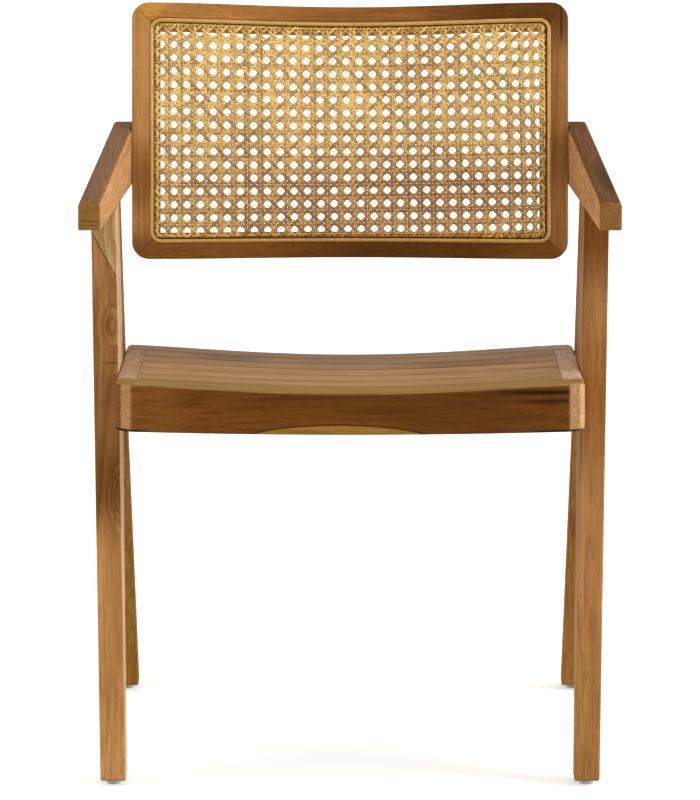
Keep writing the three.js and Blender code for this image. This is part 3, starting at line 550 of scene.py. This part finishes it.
def strands(name, lines, width, material, random):
    """Ribbons along lines of the weave. A line has a start, an end and its lift in and out of the panel.

    Points run evenly along a line and are spread across it by the strand's section. The slack moves them,
    the groove folds them in, and the panel bends them. A line's part past the fold is dropped. The shade
    grows with the square of the distance from the ribbon's middle line.
    """
    section = strand_section(width)
    edges = (2 * section[:, 0] / width) ** 2
    points, faces, shades, along = [], [], [], []
    base = 0
    for start, end, lift in lines:
        length = math.dist(start, end)
        share = np.linspace(0, 1, int(length / pitch * steps_per_pitch))[:, None]
        line = np.array(start) * (1 - share) + np.array(end) * share
        kept = past_wall(*slack(line[:, 0], line[:, 1]))[0] < fold_depth
        shade = random.random() + edge_shade * edges
        if kept.sum() < steps_per_pitch:
            continue
        line = line[kept]
        share = share[kept]
        side = np.array([end[1] - start[1], start[0] - end[0]]) / length
        across = line[:, None, :] + section[None, :, :1] * side
        depth = (weave_depth + lift(line))[:, None] + section[None, :, 1]
        x, h, w = folded(*slack(across[..., 0], across[..., 1]), depth)
        points.append(on_panel(x, h, w).reshape(-1, 3))
        steps, ring = depth.shape
        faces += tube_faces(steps, ring, base)
        shades.append(np.broadcast_to(shade, depth.shape).ravel())
        u = np.broadcast_to(share * length + len(shades), depth.shape)
        v = np.broadcast_to(section[None, :, 0] + len(shades), depth.shape)
        along.append(np.stack([u, v], -1).reshape(-1, 2))
        base += steps * ring
    points, shades, along = (np.concatenate(parts) for parts in (points, shades, along))
    return mesh_piece(name, points, faces, shades, along, material)


def wave(axis, height, start=0.0, mean=0.0):
    """A strand's lift along x (axis 0) or h (axis 1): height sin(2 pi (place - start) / pitch) + mean."""

    def lift(line):
        return height * np.sin(2 * math.pi / pitch * (line[:, axis] - start)) + mean

    return lift


def weave():
    """Six-way weave: upright and level pairs in plain weave, and strands across the corners of the holes."""
    random = np.random.default_rng(weave_seed)
    half = half_arc - stile_band + pitch
    origin = lowest_hole - pitch / 2
    past = 1.5 * pitch
    low = origin - past
    high = origin + hole_rows * pitch + past
    pairs, diagonals = [], []
    for column in range(-hole_columns // 2 - 1, hole_columns // 2 + 2):
        for sign in (-1, 1):
            x = column * pitch + sign * pair_offset
            pairs.append(((x, low), (x, high), wave(1, sign * pair_lift, origin)))
    for row in range(-1, hole_rows + 2):
        for sign in (-1, 1):
            h = origin + row * pitch + sign * pair_offset
            pairs.append(((-half, h), (half, h), wave(0, -sign * pair_lift)))
    count = (hole_columns + hole_rows) // 2 + 2
    for step in range(-count, count + 1):
        middle = origin + (step + hole_rows / 2 + 0.5) * pitch
        for slope in (-1, 1):
            lift = wave(0, slope * diagonal_lift, -pitch / 4, -diagonal_lift / 2)
            diagonals.append(((-half, middle - slope * half), (half, middle + slope * half), lift))
    skin = split_cane()
    straight = strands("cane_pairs", pairs, pair_width, skin, random)
    crossing = strands("cane_diagonals", diagonals, diagonal_width, skin, random)
    return straight, crossing


def reed_path(inset, corner_steps=8, straight_steps=36):
    """The groove's line at an inset, a little to the right as in the photograph.

    It has arcs round the four corners and even steps between them, in x and h.
    """
    half, low, high, radius = groove_box(inset)
    lower, upper = low + radius, high - radius
    arcs = []
    for side, h, start in ((1, lower, -90), (1, upper, 0), (-1, upper, 90), (-1, lower, 180)):
        angles = np.radians(start + np.linspace(0, 90, corner_steps + 1))
        x = reed_shift + side * (half - radius)
        arcs.append(np.stack([x + radius * np.cos(angles), h + radius * np.sin(angles)], -1))
    shares = np.linspace(0, 1, straight_steps + 1)[1:-1, None]
    runs = [(arc, arc[-1] + shares * (after[0] - arc[-1])) for arc, after in zip(arcs, arcs[1:] + arcs[:1])]
    return np.concatenate([part for run in runs for part in run])


def cane_reed():
    """The reed pressed into the groove: a bar with a low crown, carried round the groove's line.

    The crown's inset is half (1 + cos a) and its depth crown (1 - sin a) - proud, for a from 0 to pi.
    """
    angles = np.linspace(0, math.pi, reed_crown_points)
    half = reed_width / 2
    insets = [reed_inset + half * (1 + math.cos(angle)) for angle in angles]
    depths = [reed_crown * (1 - math.sin(angle)) - reed_proud for angle in angles]
    insets += [reed_inset, reed_inset + reed_width]
    depths += [reed_depth, reed_depth]
    paths = np.stack([reed_path(inset) for inset in insets], 1)
    depth = np.broadcast_to(depths, paths.shape[:2])
    points = on_panel(paths[..., 0], paths[..., 1], depth).reshape(-1, 3)
    steps, ring = depth.shape
    faces = tube_faces(steps, ring, closed=True)
    shade = np.full(steps * ring, reed_shade)
    run = np.linalg.norm(np.diff(paths[:, 0], axis=0, prepend=paths[:1, 0]), axis=1).cumsum()
    u = np.broadcast_to(run[:, None], depth.shape)
    v = np.broadcast_to(insets, depth.shape)
    along = np.stack([u, v], -1).reshape(-1, 2)
    skin = cane_skin("reed", "#cf9f50", "#8f6224", reed_fibre_size)
    return mesh_piece("cane_reed", points, faces, shade, along, skin)


# Grain directions: each turn brings a piece's length onto X
along_x = (0.0, 0.0, 0.0)
along_y = (0.0, 0.0, -math.pi / 2)


def along_slope(slope):
    """The turn for a piece that leans back by a slope from upright."""
    return (slope, math.pi / 2, 0.0)


def dress(material, *names):
    """Puts one material on some CAD pieces."""
    for name in names:
        nodes[name].data.materials.clear()
        nodes[name].data.materials.append(material)


# Painted light: this mask lays a paler tone on the legs' inner faces, standing in for the light from the
# side lamps
def inner_face_painted_light(side):
    """The inner face of the legs at a side: -1 is the left and 1 the right, in the photograph."""
    return beyond((side * (leg_inner_half + mark_fade), 0, 0), (-side, 0, lean_out / lean_height), mark_fade)


# The marks and knots below are placed after the photograph


def front_leg_finishes():
    """Front legs of different boards: the left one has a knot's figure, and sapwood under the arm. Painted
    light pales their inner faces, and a painted shadow of the arm darkens the right one's top.
    """
    sap_line = (0.87, 0, 0.5)
    left_marks = (
        ("#916538", 0.8, spot((-0.27, 0, 0.47), (through, through, 0.16), 0.6)),
        ("#714716", 0.9, spot((-0.27, 0, 0.325), (through, through, 0.085), 0.9)),
        ("#5e3a18", 0.5, spot((-0.266, 0, 0.456), (0.02, through, 0.0022), 0.8)),
        ("#6b431c", 0.6, spot((-0.274, 0, 0.497), (0.008, through, 0.02), 0.9)),
        ("#6e4a24", 0.9, beyond((-0.2795, 0, 0.574), sap_line, 0.0008)),
        ("#b39260", 1.0, beyond((-0.2785, 0, 0.5745), sap_line, 0.002)),
        # painted light: the left leg's inner face painted pale, as if lit by the strong lamp at the right
        ("#e2be9a", 1.0, inner_face_painted_light(-1)),
    )
    left_knots = (
        (3.0, spot((-0.2555, 0, 0.312), (0.022, through, 0.042), 1.0)),
        (1.6, spot((-0.27, 0, 0.497), (0.017, through, 0.03), 1.0)),
        (2.0, spot((-0.262, 0, 0.61), (0.03, through, 0.1), 1.0)),
    )
    right_marks = (
        ("#8f5f2b", 0.8, spot((0.27, 0, 0.43), (through, through, 0.1), 0.7)),
        # painted shadow: the arm's shadow painted dark on the upper part of the right leg
        ("#6c3f16", 0.9, spot((0.28, 0, 0.62), (through, through, 0.14), 0.8)),
        # painted light: the right leg's inner face painted paler, as if lit from the left
        ("#c08f56", 0.7, inner_face_painted_light(1)),
    )
    turn = along_slope(math.atan(front_leg_run / front_leg_rise))
    left = teak("teak_left_front_leg", "#c08e56", "#b07e4a", turn, 0.3, 0.7, left_marks, left_knots)
    right = teak("teak_right_front_leg", "#aa7c4b", "#986a39", turn, 4.0, 0.4, right_marks)
    dress(left, "left_front_leg")
    dress(right, "right_front_leg")


def rear_leg_finishes():
    """Rear legs: the left one is plain, and the right one has a small knot low down."""
    marks = (("#6a3c1c", 0.7, spot((0.264, 0, 0.215), (0.012, through, 0.035), 0.8)),)
    knots = ((3.0, spot((0.266, 0, 0.215), (0.015, through, 0.03), 1.0)),)
    turn = along_slope(math.atan(rear_leg_run / rear_leg_rise))
    left = teak("teak_left_rear_leg", "#a07432", "#8a5e24", turn, 1.1)
    right = teak("teak_right_rear_leg", "#ac7a3e", "#94662f", turn, 4.8, 0.4, marks, knots)
    dress(left, "left_rear_leg")
    dress(right, "right_rear_leg")


def arm_finishes():
    """Arms: yellow inside, darker and greyer on top, partly the wood's own tone and partly painted shade and
    painted sheen, with dark end grain at the front.
    """
    slope = math.atan((arm_rear_top - arm_front_top) / arm_length)
    over_top = (0, -math.sin(slope), math.cos(slope))
    top = beyond((0, chair_front, arm_front_top - arm_edge), over_top, arm_top_fade)
    end = beyond((0, chair_front + arm_edge, 0), (0, -1, 0), arm_end_fade)
    left_marks = (
        # partly the wood's tone, partly painted shade from the weak light above and painted sheen: the top
        # painted darker and greyer
        ("#866244", 1.0, top),
        ("#8c6431", 1.0, end),
        ("#4f3212", 0.8, spot((-0.286, chair_front, 0.6405), (0.02, 0.003, 0.0016), 0.8)),
        ("#4f3212", 0.6, spot((-0.286, chair_front, 0.636), (0.02, 0.003, 0.0014), 0.8)),
    )
    dark_patch = both(top, spot((0.292, -0.09, 0.67), (0.022, 0.16, through), 0.7))
    right_marks = (
        # partly the wood's tone, partly painted shade from the weak light above and painted sheen: the top
        # painted darker and greyer
        ("#6e4822", 1.0, top),
        ("#4a2e0c", 0.9, dark_patch),
        ("#865e32", 1.0, end),
    )
    left = teak("teak_left_arm", "#cc9c6a", "#bd8e5c", along_y, 5.1, 0.3, left_marks)
    right = teak("teak_right_arm", "#c2935f", "#ad8052", along_y, 6.4, 0.35, right_marks)
    dress(left, "left_armrest")
    dress(right, "right_armrest")


def front_rail_finish():
    """The seat's front rail: dark in front with a strip of sapwood. Its rounded ends are painted paler as
    painted light, the right end's side brighter and the left end's side darker as painted light and shade,
    the lower edge near the ends near black as painted shade, and its top paler and greyer, partly as painted
    light and sheen.
    """
    marks = (
        ("#7d4e1f", 0.8, spot((-0.225, 0, 0.43), (0.07, through, through), 0.9)),
        ("#2c1404", 1.0, spot((0.215, 0, 0.4465), (0.095, through, 0.0055), 0.9)),
        ("#381b06", 0.9, spot((0.225, 0, 0.437), (0.08, through, 0.0045), 0.9)),
        ("#4a250a", 0.9, spot((-0.013, 0, 0.390), (0.119, through, 0.0235), 0.05)),
        ("#946a2a", 1.0, spot((-0.013, 0, 0.390), (0.114, through, 0.0215), 0.06)),
        # painted light: the rounded corners at the ends, slanted towards the side lamps, painted paler
        ("#a67c50", 1.0, beyond((-0.2405, 0, 0), (-1, 0, 0), 0.005)),
        ("#9c7652", 1.0, beyond((0.2415, 0, 0), (1, 0, 0), 0.005)),
        # painted shade on the left end's side face, away from the strong lamp, and painted light on the
        # right end's side face, towards it
        ("#764a18", 1.0, beyond((-0.2535, 0, 0), (-1, 0, 0), 0.002)),
        ("#c2986c", 1.0, beyond((0.2545, 0, 0), (1, 0, 0), 0.002)),
        # painted shade: the downward-facing lower edge near both ends painted near black
        ("#140902", 1.0, spot((-0.25, 0, 0.402), (0.035, through, 0.004), 0.6)),
        ("#140902", 1.0, spot((0.235, 0, 0.4015), (0.045, through, 0.0045), 0.6)),
        # partly the boards' tone, partly painted light and sheen: the top, lit from above and seen at a
        # glancing angle, painted paler and greyer than the front
        ("#9a7642", 1.0, on_seat_top),
    )
    dress(teak("teak_front_rail", "#6e4112", "#5a340e", along_x, 11.3, 0.3, marks), "seat_front_rail")


def joint_line(index):
    """A darker strip along the front edge of a seat board, or of the rear rail, counted from the front."""
    edge = seat_front + boards_start + index * board_pitch
    return ("#5c4028", 0.5, beyond((0, edge + joint_strip, 0), (0, -1, 0), joint_fade))


def seat_top_finishes():
    """The seat's boards, each with its own tone that grows greyer towards the rear partly as painted sheen,
    the rear rail behind them, and the side rails, whose tops are painted paler and greyer as painted light
    and sheen.
    """
    # the boards' tones and the rear rail's grow greyer towards the rear, partly their own tone and partly
    # painted sheen
    boards = (
        ("#ac865a", "#9a7549", ()),
        ("#b68f62", "#a47f52", ()),
        ("#be9668", "#ac8658", ()),
        ("#b89268", "#a07c50", (("#94704a", 0.8, spot((0.13, 0, 0.43), (0.11, through, through), 0.8)),)),
        ("#b08c68", "#987552", (("#86684a", 0.8, spot((-0.14, 0, 0.43), (0.06, through, through), 0.8)),)),
    )
    for index, (light, dark, marks) in enumerate(boards):
        marks = (*marks, joint_line(index))
        seed = first_board_seed + index * board_seed_step
        finish = teak(f"teak_board_{index + 1}", light, dark, along_x, seed, 0.3, marks)
        dress(finish, f"seat_slat_{index + 1}")
    rear_marks = (joint_line(len(boards)),)
    # painted light and sheen: the side rails' tops painted paler and greyer than their sides, the right one
    # most, nearest the strong lamp
    left_marks = (("#b39270", 1.0, on_seat_top),)
    right_marks = (("#cbaa8e", 1.0, on_seat_top),)
    rear = teak("teak_rear_rail", "#ac8c6c", "#947252", along_x, 18.9, 0.3, rear_marks)
    left = teak("teak_left_seat_rail", "#b48452", "#a07244", along_y, 1.9, 0.3, left_marks)
    right = teak("teak_right_seat_rail", "#b88a5a", "#a4784a", along_y, 5.6, 0.3, right_marks)
    dress(rear, "seat_rear_rail")
    dress(left, "left_seat_side_rail")
    dress(right, "right_seat_side_rail")


def ledge_mark(point, direction):
    """Brown gold behind the cane: the panel's face past a plane through a point."""
    return ("#aa762c", 1.0, both(near_face, beyond(point, direction, mark_fade)))


def frame_finishes():
    """The back frame: light at its top left, dark at its top right and under the cane."""
    groove_middle = groove_width / 2
    inner = half_arc - stile_band - groove_middle
    upper = panel_bottom + (panel_height - top_band - groove_middle) * tilt_up - top_rail_dip
    lower = panel_bottom + (bottom_band + groove_middle) * tilt_up
    block_edge = (-0.765, 0, 0.644)
    top_marks = (
        ("#b07c40", 0.9, spot((-0.2, 0, 0.81), (0.2, through, through), 0.9)),
        ("#5e390f", 0.9, spot((0.2, 0, 0.81), (0.17, through, through), 0.9)),
        ("#ba873c", 1.0, beyond((-0.2177, 0, 0.8147), block_edge, 0.0008)),
        ledge_mark((0, 0, upper), (0, 0, -1)),
    )
    bottom_marks = (
        ("#663e12", 0.95, spot((0.075, 0, 0.54), (0.17, through, through), 0.6)),
        ledge_mark((0, 0, lower), (0, 0, 1)),
    )
    left_marks = (
        ("#8a5c2d", 0.8, spot((-0.24, 0, 0.62), (through, through, 0.06), 0.8)),
        ("#744a22", 0.8, spot((-0.24, 0, 0.53), (through, through, 0.05), 0.8)),
        ledge_mark((-inner, 0, 0), (1, 0, 0)),
    )
    right_marks = (
        ("#643e1e", 0.9, spot((0.24, 0, 0.82), (through, through, 0.07), 0.8)),
        ("#3f2410", 0.8, spot((0.2455, 0, 0.8), (0.0028, through, 0.035), 0.8)),
        ("#7f572f", 0.6, spot((0.24, 0, 0.65), (through, through, 0.04), 0.8)),
        ledge_mark((inner, 0, 0), (-1, 0, 0)),
    )
    turn = along_slope(panel_tilt)
    top = teak("teak_top_rail", "#8f5d2c", "#7f5023", along_x, 8.2, 0.3, top_marks)
    bottom = teak("teak_bottom_rail", "#8a5a24", "#7a4c18", along_x, 9.6, 0.3, bottom_marks)
    left = teak("teak_left_stile", "#bc8a52", "#ab7942", turn, 2.3, 0.3, left_marks)
    right = teak("teak_right_stile", "#a07040", "#8f6132", turn, 6.0, 0.3, right_marks)
    dress(top, "back_top_rail")
    dress(bottom, "back_bottom_rail")
    dress(left, "back_left_stile")
    dress(right, "back_right_stile")


def stage_floor():
    """A plain pale floor past the view's edges, white to the camera save for the chair's shadow."""
    mesh = bpy.data.meshes.new("floor")
    corners = [(floor_reach * x, floor_reach * y, 0) for x, y in ((-1, -1), (1, -1), (1, 1), (-1, 1))]
    mesh.from_pydata(corners, [], [(0, 1, 2, 3)])
    floor = bpy.data.objects.new("floor", mesh)
    bpy.context.scene.collection.objects.link(floor)
    material, tree, shader = new_material("pale_floor")
    shader.inputs["Base Color"].default_value = linear("#e7e7e7")
    shader.inputs["Roughness"].default_value = 1.0
    shader.inputs["Specular IOR Level"].default_value = 0.0
    place = add(tree, "TexCoord", out="Object")
    distance = add(tree, "VectorMath", place, out="Value", operation="LENGTH")
    growth = (glow_start, glow_end, near_glow, far_glow)
    glow = add(tree, "MapRange", distance, *growth, interpolation_type="SMOOTHSTEP")
    seen = add(tree, "LightPath", out="Is Camera Ray")
    glow = add(tree, "Math", seen, glow, operation="MULTIPLY")
    shader.inputs["Emission Color"].default_value = linear("#ffffff")
    tree.links.new(glow, shader.inputs["Emission Strength"])
    mesh.materials.append(material)


def soft_box(name, place, level):
    """A square lamp that faces the chair's middle, with the power that lights a surface there to a level."""
    lamp = bpy.data.lights.new(name, "AREA")
    lamp.shape = "SQUARE"
    lamp.size = soft_box_width
    lamp.energy = level * (math.pi * math.dist(place, chair_middle)) ** 2
    holder = bpy.data.objects.new(name, lamp)
    bpy.context.scene.collection.objects.link(holder)
    holder.location = place
    ahead = np.array(chair_middle) - np.array(place)
    level_reach = math.hypot(ahead[0], ahead[1])
    holder.rotation_euler = (math.atan2(level_reach, -ahead[2]), 0, math.atan2(-ahead[0], ahead[1]))


def studio():
    """An even white room with soft boxes: a strong one at the right, and weaker ones round the chair."""
    world = bpy.data.worlds.new("studio")
    world.use_nodes = True
    tree = world.node_tree
    seen = add(tree, "LightPath", out="Is Camera Ray")
    strength = add(tree, "MapRange", seen, 0.0, 1.0, room_light, 1.0)
    background = tree.nodes["Background"]
    background.inputs["Color"].default_value = linear("#ffffff")
    tree.links.new(strength, background.inputs["Strength"])
    bpy.context.scene.world = world
    for name, place, level in soft_boxes:
        soft_box(name, place, level)


def camera():
    """The photograph's view: a long lens, far off and a little above the chair."""
    data = bpy.data.cameras.new("camera")
    data.sensor_width = sensor_width
    data.lens = lens_pixels / picture_height_pixels * sensor_width
    data.clip_end = 100
    holder = bpy.data.objects.new("camera", data)
    holder.location = (0, chair_front - camera_distance, camera_height)
    holder.rotation_euler = (math.pi / 2 - camera_pitch, 0, 0)
    bpy.context.scene.collection.objects.link(holder)
    bpy.context.scene.camera = holder


front_leg_finishes()
rear_leg_finishes()
arm_finishes()
front_rail_finish()
seat_top_finishes()
frame_finishes()
dress(beech(), *[name for name in nodes if "dowel" in name])
dress(nylon(), *[name for name in nodes if name.endswith("glide")])

straight_cane, diagonal_cane = weave()
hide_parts("cane_panel")
reed = cane_reed()
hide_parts("cane_spline")

stage_floor()
studio()
camera()
bpy.context.scene.view_settings.view_transform = "Standard"

bpy.context.view_layer.update()
